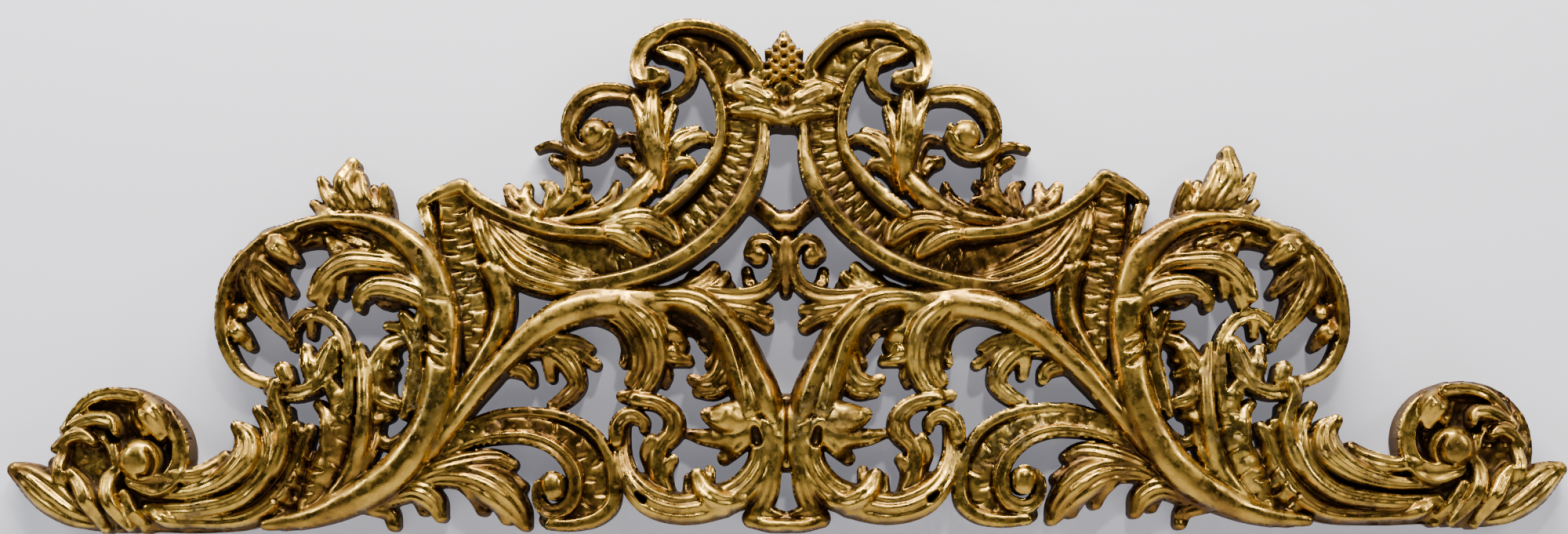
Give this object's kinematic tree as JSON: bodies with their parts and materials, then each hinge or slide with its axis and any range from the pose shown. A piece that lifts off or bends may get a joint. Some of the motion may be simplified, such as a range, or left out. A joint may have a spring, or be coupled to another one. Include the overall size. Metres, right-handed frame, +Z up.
{
  "type": "giltwood overdoor panel",
  "caption": "Flat-backed carved and gilded wooden overdoor panel, pierced with acanthus scrolls rising to a pinecone, fixed flat to a wall above a door.",
  "frame": {"origin": "on the flat back, on the panel's centre line, at the solid stem low in its middle", "axes": "+X to the viewer's right along the panel, +Y out of the flat back into the wall, +Z up; the carving faces -Y"},
  "size_m": [1.5025, 0.0594, 0.4982],
  "materials": {
    "gilding": "worn gold leaf over red-brown bole on wood"
  },
  "bodies": {
    "root": {"carved_panel": "gilding"}
  },
  "joints": []
}
